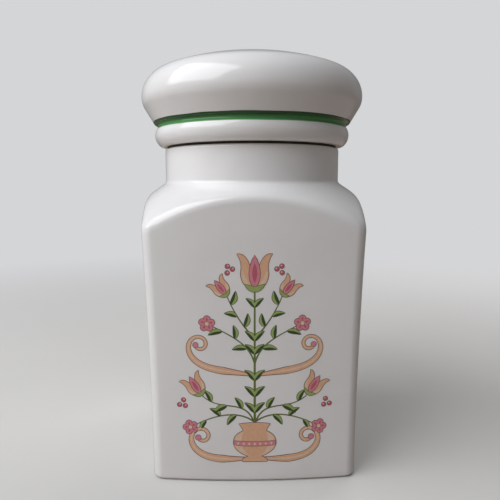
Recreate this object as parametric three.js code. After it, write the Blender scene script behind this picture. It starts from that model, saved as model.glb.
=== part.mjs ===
// A food canister in three pieces: a slip-cast jar, square with rounded edges and
// a round neck, a hollow mushroom-shaped lid with an open plug, and the rubber ring
// on the plug that seals the two.
//
// Millimetres, +Z up. The origin is on the table under the middle of the jar, and
// the front face looks towards -Y. Profiles are drawn as (radius, height).

import * as THREE from 'three';

// Jar: half widths run from the axis to the middle of a face.
const jarHeight = 200.9;
const jarWall = 5;
const footHalfWidth = 64.8;
const shoulderHalfWidth = 69.2;
const wallPinch = 0.9; // how far each wall draws in at mid height
const faceRadius = 528; // the faces bulge in plan along this radius
const uprightEdgeRadius = 7.2;

// Shoulder: one arc turned round the axis, cut off by the four walls.
const shoulderRadius = 212;
const shoulderSlope = THREE.MathUtils.degToRad(32); // where it leaves the neck
const shoulderEdgeRadius = 9.3;

// Neck and rim
const neckRadius = 58;
const neckHeight = 22.9;
const neckFillet = 3;
const rimRounding = 1.8;

// Foot: a ring under the edge of the base, round a shallow recess.
const footRounding = 2.1;
const footRingWidth = 9;
const footRecess = 2;
const floorFillet = 6;

// Seal: a lip on the rim, and a sleeve with two fins in the bore.
const sealLipThickness = 1.3;
const sealSleeveThickness = 1.2;
const sealSleeveLength = 8;
const finCount = 2;
const finThickness = 1.1;
const finDroop = 0.8; // the fins hang down towards their tips

// Lid: a plug, a flange with a bead round it, a groove, and the wide crown.
const lidWall = 5;
const plugDepth = 16;
const plugGap = 3; // between the plug and the bore
const plugRidgeHeight = 3;
const plugRidgeReach = 1;
const plugRounding = 1.5;
const beadOverhang = 6.3; // beyond the neck
const beadRadius = 8.3; // in section: the bead curves under to the seal
const beadLevel = 6.9;
const grooveDepth = 2;
const grooveRadius = 1.3;
const ledgeRounding = 1.6; // the skirt's lower edge, over the groove
const skirtSlope = THREE.MathUtils.degToRad(31); // from upright
const skirtRounding = 12; // the skirt's upper edge, up to the widest level
const crownOverhang = 8.1; // beyond the bead
const crownEdgeRadius = 18.4;
const crownRise = 9.7; // the crown's middle above the top of its rounded edge
const hollowRounding = 6;

// Fits
const turningClearance = 0.3;

// How finely the curves are cut
const faceSteps = 10;
const uprightEdgeSteps = 6;
const turnSteps = 56;

const shoulderLevel = jarHeight - neckHeight;
const floorLevel = footRecess + jarWall;
const boreRadius = neckRadius - jarWall;
const plugRadius = boreRadius - plugGap;
const seatLevel = jarHeight + sealLipThickness;

// --- Curves ---

function point(radius, height) {
  return new THREE.Vector2(radius, height);
}

// Points on an arc about a centre, both ends included.
function arc(centre, radius, fromAngle, toAngle, steps) {
  const points = [];
  for (let step = 0; step <= steps; step += 1) {
    const angle = THREE.MathUtils.lerp(fromAngle, toAngle, step / steps);
    points.push(point(centre.x + radius * Math.cos(angle), centre.y + radius * Math.sin(angle)));
  }
  return points;
}

// Points between two values of a curve, both ends left out.
function inside(from, to, steps, curve) {
  const points = [];
  for (let step = 1; step < steps; step += 1) {
    points.push(curve(THREE.MathUtils.lerp(from, to, step / steps)));
  }
  return points;
}

// The length that a rounding takes from each side of a corner.
function roundingReach(before, corner, after, radius) {
  const arriving = corner.clone().sub(before).normalize();
  const leaving = after.clone().sub(corner).normalize();
  const turn = Math.acos(THREE.MathUtils.clamp(arriving.dot(leaving), -1, 1));
  const room = 0.45 * Math.min(corner.distanceTo(before), corner.distanceTo(after));
  return Math.min(radius * Math.tan(turn / 2), room);
}

// A rounded corner from one point to another, tangent to both sides.
function roundOff(start, corner, end, steps) {
  return new THREE.QuadraticBezierCurve(start, corner, end).getPoints(steps);
}

// An outline of straight sides. Each corner is [point, rounding, steps], or a bare
// point where it stays sharp.
function outline(corners) {
  const places = corners.map((corner) => (Array.isArray(corner) ? corner[0] : corner));
  return corners.flatMap((corner, index) => {
    if (!Array.isArray(corner)) {
      return [corner];
    }
    const [place, rounding, steps] = corner;
    const before = places[index - 1];
    const after = places[index + 1];
    const reach = roundingReach(before, place, after, rounding);
    const start = place.clone().lerp(before, reach / place.distanceTo(before));
    const end = place.clone().lerp(after, reach / place.distanceTo(after));
    return roundOff(start, place, end, steps);
  });
}

// --- Jar ---

// The middle of the small circle at an upright edge, measured along X and along Y:
// the circle touches the big circles of both faces from inside.
function uprightEdgeCentre(halfWidth) {
  const faceCentre = faceRadius - halfWidth;
  const reach = faceRadius - uprightEdgeRadius;
  return (Math.sqrt(2 * reach * reach - faceCentre * faceCentre) - faceCentre) / 2;
}

// The angle at which a face gives way to the upright edge.
function uprightEdgeAngle(halfWidth) {
  const faceCentre = faceRadius - halfWidth;
  const edgeCentre = uprightEdgeCentre(halfWidth);
  const towardsEdge = point(edgeCentre + faceCentre, edgeCentre).setLength(faceRadius);
  return Math.atan2(towardsEdge.y, towardsEdge.x - faceCentre);
}

// The plan of the jar: how far its outline is from the axis at an angle, for a
// given half width.
function planRadius(angle, halfWidth) {
  const quarter = Math.PI / 2;
  const folded = Math.abs(angle - quarter * Math.round(angle / quarter));
  if (folded <= uprightEdgeAngle(halfWidth)) {
    const faceCentre = faceRadius - halfWidth;
    const aside = faceCentre * Math.sin(folded);
    return Math.sqrt(faceRadius * faceRadius - aside * aside) - faceCentre * Math.cos(folded);
  }
  const edgeCentre = uprightEdgeCentre(halfWidth);
  const aside = edgeCentre * (Math.cos(folded) - Math.sin(folded));
  const along = edgeCentre * (Math.cos(folded) + Math.sin(folded));
  return along + Math.sqrt(uprightEdgeRadius * uprightEdgeRadius - aside * aside);
}

// The angles round the jar, closer together at the four upright edges.
function planAngles() {
  const edgeAngle = uprightEdgeAngle(shoulderHalfWidth);
  const angles = [];
  for (let side = 0; side < 4; side += 1) {
    const middle = side * Math.PI / 2;
    const nextEdge = middle + edgeAngle;
    const nextFace = middle + Math.PI / 2 - edgeAngle;
    for (let step = 0; step < faceSteps; step += 1) {
      angles.push(THREE.MathUtils.lerp(middle - edgeAngle, nextEdge, step / faceSteps));
    }
    for (let step = 0; step < uprightEdgeSteps; step += 1) {
      angles.push(THREE.MathUtils.lerp(nextEdge, nextFace, step / uprightEdgeSteps));
    }
  }
  return angles;
}

function halfWidthAt(height) {
  const share = height / shoulderLevel;
  const straight = THREE.MathUtils.lerp(footHalfWidth, shoulderHalfWidth, share);
  return straight - 4 * wallPinch * share * (1 - share);
}

// One skin of the jar at an angle, from its bottom edge up to the neck. The outer
// skin has no inset, and the inner one is set in by the wall.
function jarSkin(angle, inset, bottomLevel, bottomRounding) {
  const arcCentre = point(
    neckRadius - shoulderRadius * Math.sin(shoulderSlope),
    shoulderLevel - shoulderRadius * Math.cos(shoulderSlope),
  );
  const arcRadius = shoulderRadius - inset;
  const wallAt = (height) => point(planRadius(angle, halfWidthAt(height) - inset), height);
  const shoulderAt = (radius) => point(
    radius,
    arcCentre.y + Math.sqrt(arcRadius ** 2 - (radius - arcCentre.x) ** 2),
  );

  // The wall and the shoulder would meet at a sharp edge.
  let edge = wallAt(shoulderLevel);
  for (let step = 0; step < 12; step += 1) {
    edge = wallAt(shoulderAt(edge.x).y);
  }
  const neckFoot = shoulderAt(neckRadius - inset);
  const neckTop = point(neckFoot.x, jarHeight);
  const bottom = wallAt(bottomLevel);
  const bottomMiddle = point(0, bottomLevel);

  const bottomReach = roundingReach(bottomMiddle, bottom, edge, bottomRounding);
  const edgeRounding = Math.max(shoulderEdgeRadius - inset, rimRounding);
  const edgeReach = roundingReach(bottom, edge, neckFoot, edgeRounding);
  const neckReach = roundingReach(edge, neckFoot, neckTop, neckFillet + inset);
  const slope = Math.atan2(neckFoot.y - edge.y, edge.x - neckFoot.x);
  const wallFrom = bottomLevel + bottomReach;
  const wallTo = edge.y - edgeReach;
  const shoulderFrom = edge.x - edgeReach * Math.cos(slope);
  const shoulderTo = neckFoot.x + neckReach * Math.cos(slope);
  const bottomInner = point(bottom.x - bottomReach, bottomLevel);
  const neckFrom = point(neckFoot.x, neckFoot.y + neckReach);
  return [
    ...roundOff(bottomInner, bottom, wallAt(wallFrom), 3),
    ...inside(wallFrom, wallTo, 5, wallAt),
    ...roundOff(wallAt(wallTo), edge, shoulderAt(shoulderFrom), 4),
    ...inside(shoulderFrom, shoulderTo, 3, shoulderAt),
    ...roundOff(shoulderAt(shoulderTo), neckFoot, neckFrom, 3),
  ];
}

// The whole section of the jar at an angle, from the middle of the underside, out
// and over the rim, and down inside to the middle of the floor.
function jarSection(angle) {
  const recessEdge = planRadius(angle, footHalfWidth - footRingWidth);
  const rim = outline([
    point(neckRadius, shoulderLevel),
    [point(neckRadius, jarHeight), rimRounding, 3],
    [point(boreRadius, jarHeight), rimRounding, 3],
    point(boreRadius, shoulderLevel),
  ]).slice(1, -1);
  return [
    point(0, footRecess),
    point(recessEdge - footRecess, footRecess),
    point(recessEdge, 0),
    ...jarSkin(angle, 0, 0, footRounding),
    ...rim,
    ...jarSkin(angle, jarWall, floorLevel, floorFillet).reverse(),
    point(0, floorLevel),
  ];
}

// A closed surface through sections at rising angles. Each section starts and ends
// on the axis, where all of them share one point.
function surfaceThrough(sections, angles) {
  const inner = sections[0].length - 2;
  const positions = [0, 0, sections[0][0].y];
  sections.forEach((section, turn) => {
    section.slice(1, -1).forEach(({ x, y }) => {
      positions.push(x * Math.cos(angles[turn]), x * Math.sin(angles[turn]), y);
    });
  });
  positions.push(0, 0, sections[0].at(-1).y);
  const first = 0;
  const last = positions.length / 3 - 1;
  const at = (turn, place) => 1 + (turn % sections.length) * inner + place;
  const triangles = [];
  for (let turn = 0; turn < sections.length; turn += 1) {
    triangles.push(first, at(turn + 1, 0), at(turn, 0));
    for (let place = 0; place < inner - 1; place += 1) {
      const here = at(turn, place);
      const beside = at(turn + 1, place);
      const above = at(turn, place + 1);
      const across = at(turn + 1, place + 1);
      triangles.push(here, beside, across, here, across, above);
    }
    triangles.push(at(turn, inner - 1), at(turn + 1, inner - 1), last);
  }
  const geometry = new THREE.BufferGeometry();
  geometry.setAttribute('position', new THREE.Float32BufferAttribute(positions, 3));
  geometry.setIndex(triangles);
  geometry.computeVertexNormals();
  return geometry;
}

function makeJar() {
  const angles = planAngles();
  const geometry = surfaceThrough(angles.map(jarSection), angles);
  const glaze = new THREE.MeshStandardMaterial({ color: 0xf2f1ee, roughness: 0.12, metalness: 0 });
  const jar = new THREE.Mesh(geometry, glaze);
  jar.name = 'jar';
  return jar;
}

// --- Turned pieces ---

// A profile turned round the vertical axis.
function turned(profile) {
  return new THREE.LatheGeometry(profile, turnSteps).rotateX(Math.PI / 2);
}

// The seal's section, from its level on the rim: up to the lip, down the sleeve.
function makeSeal() {
  const innerRadius = plugRadius + turningClearance;
  const sleeveRadius = innerRadius + sealSleeveThickness;
  const finRadius = boreRadius - turningClearance;
  const finSpacing = sealSleeveLength / finCount;
  const sleeveSide = [];
  for (let fin = 0; fin < finCount; fin += 1) {
    const root = -sealSleeveLength + finSpacing * (fin + 0.4);
    sleeveSide.push(
      point(sleeveRadius, root),
      point(finRadius, root - finDroop),
      point(finRadius, root - finDroop + finThickness / 2),
      point(sleeveRadius, root + finThickness),
    );
  }
  const profile = [
    point(innerRadius, -sealSleeveLength),
    point(sleeveRadius, -sealSleeveLength),
    ...sleeveSide,
    point(sleeveRadius, 0),
    point(neckRadius - rimRounding, 0),
    point(neckRadius - rimRounding, sealLipThickness),
    point(innerRadius, sealLipThickness),
    point(innerRadius, -sealSleeveLength),
  ];
  const rubber = new THREE.MeshStandardMaterial({ color: 0x191817, roughness: 0.6, metalness: 0 });
  const seal = new THREE.Mesh(turned(profile), rubber);
  seal.name = 'lid_seal';
  seal.position.z = jarHeight;
  return seal;
}

// The lid's profile, from the level where it sits on the seal. It starts in the
// middle of the hollow's ceiling, goes down inside and out of the plug, along the
// flange, and up the outside to the middle of the crown.
function lidProfile() {
  const beadReach = neckRadius + beadOverhang;
  const crownReach = beadReach + crownOverhang;

  // The bead's arc starts on the seat and runs on into the groove's arc without a
  // corner, and the groove's into the skirt's lower edge.
  const beadCentre = point(beadReach - beadRadius, beadLevel);
  const bothRadii = beadRadius + grooveRadius;
  const apart = point(bothRadii - grooveDepth, 0);
  apart.y = Math.sqrt(bothRadii ** 2 - apart.x ** 2);
  const grooveCentre = beadCentre.clone().add(apart);
  const passing = Math.atan2(apart.y, apart.x);
  const seatAngle = -Math.asin(THREE.MathUtils.clamp(beadLevel / beadRadius, -1, 1));
  const ledgeLevel = grooveCentre.y + grooveRadius;

  // The skirt leans outwards from its lower edge to its upper one.
  const ledgeCentre = point(grooveCentre.x, ledgeLevel + ledgeRounding);
  const ledge = arc(ledgeCentre, ledgeRounding, -Math.PI / 2, -skirtSlope, 3);
  const skirtFoot = ledge.at(-1);
  const skirtTopRadius = crownReach - skirtRounding * (1 - Math.cos(skirtSlope));
  const skirtTop = skirtFoot.y + (skirtTopRadius - skirtFoot.x) / Math.tan(skirtSlope);
  const widestLevel = skirtTop + skirtRounding * Math.sin(skirtSlope);
  const skirtCentre = point(crownReach - skirtRounding, widestLevel);

  // The crown is a wide arc, tangent to the arc of its edge.
  const edgeCentre = point(crownReach - crownEdgeRadius, widestLevel);
  const rise = crownEdgeRadius + crownRise;
  const crownRadius = (edgeCentre.x ** 2 + rise ** 2 - crownEdgeRadius ** 2) / (2 * crownRise);
  const crownCentre = point(0, widestLevel + rise - crownRadius);
  const meeting = Math.atan2(edgeCentre.y - crownCentre.y, edgeCentre.x);

  const hollowEdge = Math.max(crownEdgeRadius - lidWall, rimRounding);
  const flangeRadius = beadReach - grooveDepth - lidWall;
  const hollow = [
    ...arc(crownCentre, crownRadius - lidWall, Math.PI / 2, meeting, 4).slice(0, -1),
    ...arc(edgeCentre, hollowEdge, meeting, 0, 4),
    ...outline([
      point(crownReach - lidWall, widestLevel),
      [point(skirtTopRadius - lidWall, skirtTop), hollowRounding, 2],
      [point(flangeRadius, ledgeLevel), hollowRounding, 2],
      [point(flangeRadius, lidWall), hollowRounding, 2],
      [point(plugRadius - lidWall, lidWall), hollowRounding, 2],
      [point(plugRadius - lidWall, -plugDepth), plugRounding, 2],
      [point(plugRadius, -plugDepth), plugRounding, 2],
      point(plugRadius, 0),
    ]).slice(1, -1),
  ];
  const ridgeTop = -sealLipThickness - sealSleeveLength - turningClearance;
  const plugAndSeat = [
    point(plugRadius, ridgeTop - plugRidgeHeight),
    point(plugRadius + plugRidgeReach, ridgeTop - plugRidgeHeight * 0.65),
    point(plugRadius + plugRidgeReach, ridgeTop - plugRidgeHeight * 0.35),
    point(plugRadius, ridgeTop),
    point(plugRadius, 0),
  ];
  return [
    ...hollow,
    ...plugAndSeat,
    ...arc(beadCentre, beadRadius, seatAngle, passing, 8).slice(0, -1),
    ...arc(grooveCentre, grooveRadius, passing + Math.PI, Math.PI / 2, 4).slice(0, -1),
    ...ledge,
    ...arc(skirtCentre, skirtRounding, -skirtSlope, 0, 3).slice(0, -1),
    ...arc(edgeCentre, crownEdgeRadius, 0, meeting, 6).slice(0, -1),
    ...arc(crownCentre, crownRadius, meeting, Math.PI / 2, 5),
  ];
}

function makeLid() {
  const glaze = new THREE.MeshStandardMaterial({ color: 0xf2f1ee, roughness: 0.12, metalness: 0 });
  const lid = new THREE.Mesh(turned(lidProfile()), glaze);
  lid.name = 'lid';
  lid.position.z = seatLevel;
  return lid;
}

// --- Canister ---

const canister = new THREE.Group();
canister.add(makeJar(), makeSeal(), makeLid());

export default canister;
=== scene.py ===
import math

import bmesh
import bpy
from mathutils import Matrix, Vector


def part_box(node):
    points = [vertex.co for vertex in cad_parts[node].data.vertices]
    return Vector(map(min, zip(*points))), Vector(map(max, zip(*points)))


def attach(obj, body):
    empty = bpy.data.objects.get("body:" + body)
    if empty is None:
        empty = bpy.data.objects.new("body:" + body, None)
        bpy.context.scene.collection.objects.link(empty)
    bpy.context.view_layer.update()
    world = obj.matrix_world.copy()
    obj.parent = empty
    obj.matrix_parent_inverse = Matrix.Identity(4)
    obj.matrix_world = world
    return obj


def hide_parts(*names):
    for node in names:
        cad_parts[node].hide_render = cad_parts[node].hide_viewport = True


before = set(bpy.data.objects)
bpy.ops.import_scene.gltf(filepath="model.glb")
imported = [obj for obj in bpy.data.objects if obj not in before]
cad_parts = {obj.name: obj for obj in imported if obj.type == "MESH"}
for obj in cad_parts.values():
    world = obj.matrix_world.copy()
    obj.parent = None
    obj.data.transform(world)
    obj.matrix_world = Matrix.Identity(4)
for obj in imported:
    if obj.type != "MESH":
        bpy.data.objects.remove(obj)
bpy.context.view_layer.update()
mm = 0.001
quarter = math.pi / 2
helpers = []

_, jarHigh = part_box("jar")
sealLow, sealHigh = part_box("lid_seal")
lidLow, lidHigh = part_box("lid")


def feed(tree, socket, value):
    # a number goes on the socket itself, anything else is a link
    if isinstance(value, bpy.types.NodeSocket):
        tree.links.new(value, socket)
    else:
        socket.default_value = value


def addNode(tree, kind, inputs=None, **settings):
    # inputs go by their label or their number
    node = tree.nodes.new(kind)
    for name, value in settings.items():
        setattr(node, name, value)
    for label, value in (inputs or {}).items():
        feed(tree, node.inputs[label], value)
    return node


def calc(tree, operation, *values):
    return addNode(tree, "ShaderNodeMath", dict(enumerate(values)), operation=operation).outputs[0]


def product(tree, value, *factors):
    for factor in factors:
        value = calc(tree, "MULTIPLY", value, factor)
    return value


def mapRange(tree, value, ends=(0.0, 1.0), onto=(0.0, 1.0), kind="LINEAR"):
    return addNode(tree, "ShaderNodeMapRange", {
        "Value": value, "From Min": ends[0], "From Max": ends[1], "To Min": onto[0], "To Max": onto[1],
    }, interpolation_type=kind).outputs[0]


def splitXYZ(tree, vector):
    return addNode(tree, "ShaderNodeSeparateXYZ", {0: vector}).outputs


def joinXYZ(tree, x, y, z):
    return addNode(tree, "ShaderNodeCombineXYZ", {0: x, 1: y, 2: z}).outputs[0]


def lengthOf(tree, vector):
    return addNode(tree, "ShaderNodeVectorMath", {0: vector}, operation="LENGTH").outputs["Value"]


def position(tree):
    return addNode(tree, "GeometryNodeInputPosition").outputs[0]


def normal(tree):
    return addNode(tree, "GeometryNodeInputNormal").outputs[0]


def pointIndex(tree):
    return addNode(tree, "GeometryNodeInputIndex").outputs[0]


def objectGeometry(tree, given):
    return addNode(tree, "GeometryNodeObjectInfo", {"Object": given}).outputs["Geometry"]


def handOn(tree, kind, geometry, inputs=None, **settings):
    # a node that takes a geometry at its first input and hands on the result
    return addNode(tree, kind, {0: geometry, **(inputs or {})}, **settings).outputs[0]


def joined(tree, *parts):
    join = addNode(tree, "GeometryNodeJoinGeometry")
    for part in parts:
        feed(tree, join.inputs[0], part)
    return join.outputs[0]


def newTree(name, inputs):
    tree = bpy.data.node_groups.new(name, "GeometryNodeTree")
    for label, kind in inputs.items():
        tree.interface.new_socket(name=label, in_out="INPUT", socket_type="NodeSocket" + kind)
    tree.interface.new_socket(name="Geometry", in_out="OUTPUT", socket_type="NodeSocketGeometry")
    groupIn = addNode(tree, "NodeGroupInput")
    groupOut = addNode(tree, "NodeGroupOutput")
    return tree, {label: groupIn.outputs[label] for label in inputs}, groupOut.inputs[0]


def inScene(name, data):
    made = bpy.data.objects.new(name, data)
    bpy.context.scene.collection.objects.link(made)
    return made


def helperObject(name, points, edges=(), faces=()):
    # something a tree reads, taken out of the scene when all is made
    mesh = bpy.data.meshes.new(name)
    mesh.from_pydata(points, edges, faces)
    helper = inScene(name, mesh)
    helper.hide_render = True
    helpers.append(helper)
    return helper


def runTree(name, tree, values):
    # the tree's result as a plain mesh object at the origin
    host = inScene(name + "Host", bpy.data.meshes.new(name + "Host"))
    modifier = host.modifiers.new(name, "NODES")
    modifier.node_group = tree
    identifiers = {item.name: item.identifier for item in tree.interface.items_tree
                   if item.in_out == "INPUT"}
    for label, value in values.items():
        modifier[identifiers[label]] = value
    graph = bpy.context.evaluated_depsgraph_get()
    mesh = bpy.data.meshes.new_from_object(host.evaluated_get(graph), depsgraph=graph)
    mesh.name = name
    bpy.data.objects.remove(host)
    return inScene(name, mesh)


def pointCount(tree, geometry):
    return addNode(tree, "GeometryNodeAttributeDomainSize", {0: geometry}).outputs["Point Count"]


def readPoint(tree, geometry, index):
    return addNode(tree, "GeometryNodeSampleIndex", {
        "Geometry": geometry, "Value": position(tree), "Index": index,
    }, data_type="FLOAT_VECTOR", domain="POINT").outputs[0]


def gridOnRows(tree, rowsObject, columnCount):
    # a grid with one column per angle and one row per profile point
    rows = objectGeometry(tree, rowsObject)
    rowCount = pointCount(tree, rows)
    grid = addNode(tree, "GeometryNodeMeshGrid", {"Vertices X": columnCount, "Vertices Y": rowCount})
    index = pointIndex(tree)
    column = calc(tree, "FLOOR", calc(tree, "DIVIDE", calc(tree, "ADD", index, 0.5), rowCount))
    row = calc(tree, "SUBTRACT", index, product(tree, column, rowCount))
    return grid.outputs["Mesh"], column, readPoint(tree, rows, row)


casting = {
    "weld": 0.004 * mm,
    "waver": (21.0, 1.0),     # scale and detail of the hand-made unevenness
    "calmWithin": 4 * mm,     # it dies away this near to the resting level
    "bareFacing": -0.98,      # faces that point down at least so far can be bare
    "bareWithin": 0.25 * mm,
}


def closeAndFinish(tree, mesh, place, given, restLevel, out):
    # sets the grid's points, welds seam and poles, lets the surface waver inwards,
    # and gives level faces at the resting height the bare clay
    mesh = handOn(tree, "GeometryNodeSetPosition", mesh, {"Position": place})
    mesh = handOn(tree, "GeometryNodeMergeByDistance", mesh, {"Distance": casting["weld"]})
    scale, detail = casting["waver"]
    waver = addNode(tree, "ShaderNodeTexNoise", {
        "W": given["Seed"], "Scale": scale, "Detail": detail}, noise_dimensions="4D").outputs[0]
    height = splitXYZ(tree, position(tree))[2]
    rising = calc(tree, "ABSOLUTE", calc(tree, "SUBTRACT", height, restLevel))
    calm = calc(tree, "MINIMUM", calc(tree, "DIVIDE", rising, casting["calmWithin"]), 1.0)
    inward = product(tree, waver, given["Unevenness"], product(tree, calm, -1.0))
    sink = addNode(tree, "ShaderNodeVectorMath", {0: normal(tree), "Scale": inward}, operation="SCALE")
    mesh = handOn(tree, "GeometryNodeSetPosition", mesh, {"Offset": sink.outputs[0]})
    mesh = handOn(tree, "GeometryNodeSetShadeSmooth", mesh)
    mesh = handOn(tree, "GeometryNodeRealizeInstances", mesh)
    mesh = handOn(tree, "GeometryNodeSetMaterial", mesh, {"Material": given["Glaze"]})
    level = calc(tree, "LESS_THAN", splitXYZ(tree, normal(tree))[2], casting["bareFacing"])
    near = calc(tree, "LESS_THAN", rising, casting["bareWithin"])
    feed(tree, out, handOn(tree, "GeometryNodeSetMaterial", mesh, {
        "Selection": product(tree, level, near), "Material": given["Bare Clay"]}))


# profiles are lists of (radius, height) in millimetres
def along(start, end, steps):
    return [start + (end - start) * step / steps for step in range(steps + 1)]


def arcPoints(centre, radius, fromAngle, toAngle, steps):
    return [(centre[0] + radius * math.cos(angle), centre[1] + radius * math.sin(angle))
            for angle in along(fromAngle, toAngle, steps)]


def roundedProfile(corners):
    # each corner is (radius, height, rounding), rounded by a curve tangent to both sides,
    # with a step for each ten degrees and within its half of a side
    points = []
    for index, (out, up, rounding) in enumerate(corners):
        corner = Vector((out, up))
        if not rounding:
            points.append((out, up))
            continue
        before = Vector(corners[index - 1][:2]) - corner
        after = Vector(corners[index + 1][:2]) - corner
        turn = math.pi - before.angle(after)
        reach = min(rounding * math.tan(turn / 2), 0.45 * min(before.length, after.length))
        start = corner + before.normalized() * reach
        end = corner + after.normalized() * reach
        steps = max(3, round(math.degrees(turn) / 10))
        for share in along(0, 1, steps):
            spot = start * (1 - share) ** 2 + corner * 2 * share * (1 - share) + end * share ** 2
            points.append(tuple(spot))
    return points


def closeUp(points, longest):
    # adds points where two neighbours are further apart than longest
    filled = [points[0]]
    for here in points[1:]:
        last = filled[-1]
        steps = max(1, math.ceil(math.dist(last, here) / longest))
        filled += [tuple(a + (b - a) * share for a, b in zip(last, here))
                   for share in along(0, 1, steps)[1:]]
    return filled


def objectPlace(tree):
    return addNode(tree, "ShaderNodeTexCoord").outputs["Object"]


def objectNoise(tree, scale, detail, roughness=0.5):
    return addNode(tree, "ShaderNodeTexNoise", {
        "Vector": objectPlace(tree), "Scale": scale, "Detail": detail, "Roughness": roughness}).outputs[0]


def colourRamp(tree, share, stops):
    # between two stops of (place, colour)
    ramp = addNode(tree, "ShaderNodeValToRGB")
    feed(tree, ramp.inputs[0], share)
    for element, (place, colour) in zip(ramp.color_ramp.elements, stops):
        element.position = place
        element.color = (*colour, 1)
    return ramp.outputs[0]


def blendColour(tree, share, first, second):
    mix = addNode(tree, "ShaderNodeMix", {0: share}, data_type="RGBA")
    for socket, colour in ((mix.inputs[6], first), (mix.inputs[7], second)):
        feed(tree, socket, colour if isinstance(colour, bpy.types.NodeSocket) else (*colour, 1))
    return mix.outputs[2]


def layOver(tree, shader, share, colour):
    # puts a colour over the one that the surface has
    socket = shader.inputs["Base Color"]
    feed(tree, socket, blendColour(tree, share, socket.links[0].from_socket, colour))


def addBump(tree, shader, height, distance):
    bump = addNode(tree, "ShaderNodeBump", {"Height": height, "Distance": distance})
    feed(tree, shader.inputs["Normal"], bump.outputs[0])


def newFinish(name, look):
    # tone, gloss and height each drift with their own noise of (scale, detail)
    material = bpy.data.materials.new(name)
    material.use_nodes = True
    tree = material.node_tree
    shader = tree.nodes["Principled BSDF"]
    shader.inputs["IOR"].default_value = look["refraction"]
    tone = colourRamp(tree, objectNoise(tree, *look["toneNoise"]), look["tones"])
    feed(tree, shader.inputs["Base Color"], tone)
    roughness = look["roughness"]
    if "glossNoise" in look:
        roughness = mapRange(tree, objectNoise(tree, *look["glossNoise"]), onto=roughness)
    feed(tree, shader.inputs["Roughness"], roughness)
    if "bumpNoise" in look:
        addBump(tree, shader, objectNoise(tree, *look["bumpNoise"]), look["bump"])
    return material, tree, shader


glazeLook = {
    # where the glaze lies thin, and where it is full
    "tones": [(0.3, (0.835, 0.824, 0.828)), (0.52, (0.87, 0.861, 0.872))],
    "toneNoise": (26.0, 3.0),
    "roughness": (0.07, 0.15),
    "glossNoise": (60.0, 4.0),
    "refraction": 1.5,
    "speck": (0.36, 0.30, 0.23),
    "speckCells": 95.0,
    "speckSize": 0.035,
    "speckShare": 0.93,          # higher means fewer iron specks
    "speckStrength": 0.55,
    "peel": (210.0, 2.0),
    "finePeel": (900.0, 1.0),
    "finePeelShare": 0.12,
    "ripple": 0.035 * mm,        # height of the peel
}


def whiteGlaze(name):
    # glossy tin-white glaze: slow drift of tone, a few iron specks, faint orange peel
    material, tree, shader = newFinish(name, glazeLook)
    cells = addNode(tree, "ShaderNodeTexVoronoi", {
        "Vector": objectPlace(tree), "Scale": glazeLook["speckCells"]}, feature="F1")
    dot = calc(tree, "LESS_THAN", cells.outputs["Distance"], glazeLook["speckSize"])
    lot = splitXYZ(tree, cells.outputs["Color"])[0]
    chosen = calc(tree, "GREATER_THAN", lot, glazeLook["speckShare"])
    layOver(tree, shader, product(tree, dot, chosen, glazeLook["speckStrength"]), glazeLook["speck"])
    fine = product(tree, objectNoise(tree, *glazeLook["finePeel"]), glazeLook["finePeelShare"])
    peel = calc(tree, "ADD", objectNoise(tree, *glazeLook["peel"]), fine)
    addBump(tree, shader, peel, glazeLook["ripple"])
    return material, tree, shader


clayLook = {
    "tones": [(0.3, (0.66, 0.61, 0.52)), (0.7, (0.78, 0.74, 0.66))],
    "toneNoise": (700.0, 5.0),
    "roughness": 0.85,
    "bumpNoise": (2400.0, 3.0),
    "bump": 0.06 * mm,
    "refraction": 1.45,
}

jar = {
    # bulging tapered square walls, cut off above by a turned shoulder arc, lengths in mm
    "height": jarHigh.z / mm,
    "wall": 5.0,
    "footHalfWidth": 64.8,
    "shoulderHalfWidth": 69.2,
    "wallPinch": 0.9,
    "faceRadius": 528.0,
    "edgeRadius": 7.2,
    "shoulderRadius": 212.0,
    "shoulderSlope": math.radians(32),
    "shoulderBlend": 6.6,
    "neckHeight": 22.2,
    "neckBlend": 3.2,
    "rimRounding": 1.8,
    "footRounding": 2.1,
    "footRing": 9.0,
    "ringChamfer": 0.3,
    "footRecess": 2.0,
    "floorFillet": 6.0,
    "faceColumns": 42,
    "edgeColumns": 22,
    "fineFrom": 150.0,     # the rows lie closest between these heights
    "fineTo": 184.0,
    "unevenness": 0.16,
    "seed": 3.0,
}
jar["neckRadius"] = sealHigh.x / mm + jar["rimRounding"]
jar["shoulderLevel"] = jar["height"] - jar["neckHeight"]
jar["floor"] = jar["footRecess"] + jar["wall"]


def planPoints():
    # one turn round the foot: four shallow arcs, each joined to the next by a small one
    half, wide, small = jar["footHalfWidth"], jar["faceRadius"], jar["edgeRadius"]
    faceCentre = wide - half
    edgeCentre = (math.sqrt(2 * (wide - small) ** 2 - faceCentre ** 2) - faceCentre) / 2
    reach = math.atan2(edgeCentre, edgeCentre + faceCentre)
    points = []
    for side in range(4):
        turn = Matrix.Rotation(side * quarter, 2)
        face = arcPoints((-faceCentre, 0), wide, -reach, reach, jar["faceColumns"])
        edge = arcPoints((edgeCentre, edgeCentre), small, reach, quarter - reach, jar["edgeColumns"])
        points += [turn @ Vector(spot) for spot in face[:-1] + edge[:-1]]
    points.append(points[0])
    return [(spot.x * mm, spot.y * mm, 0) for spot in points]


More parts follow.
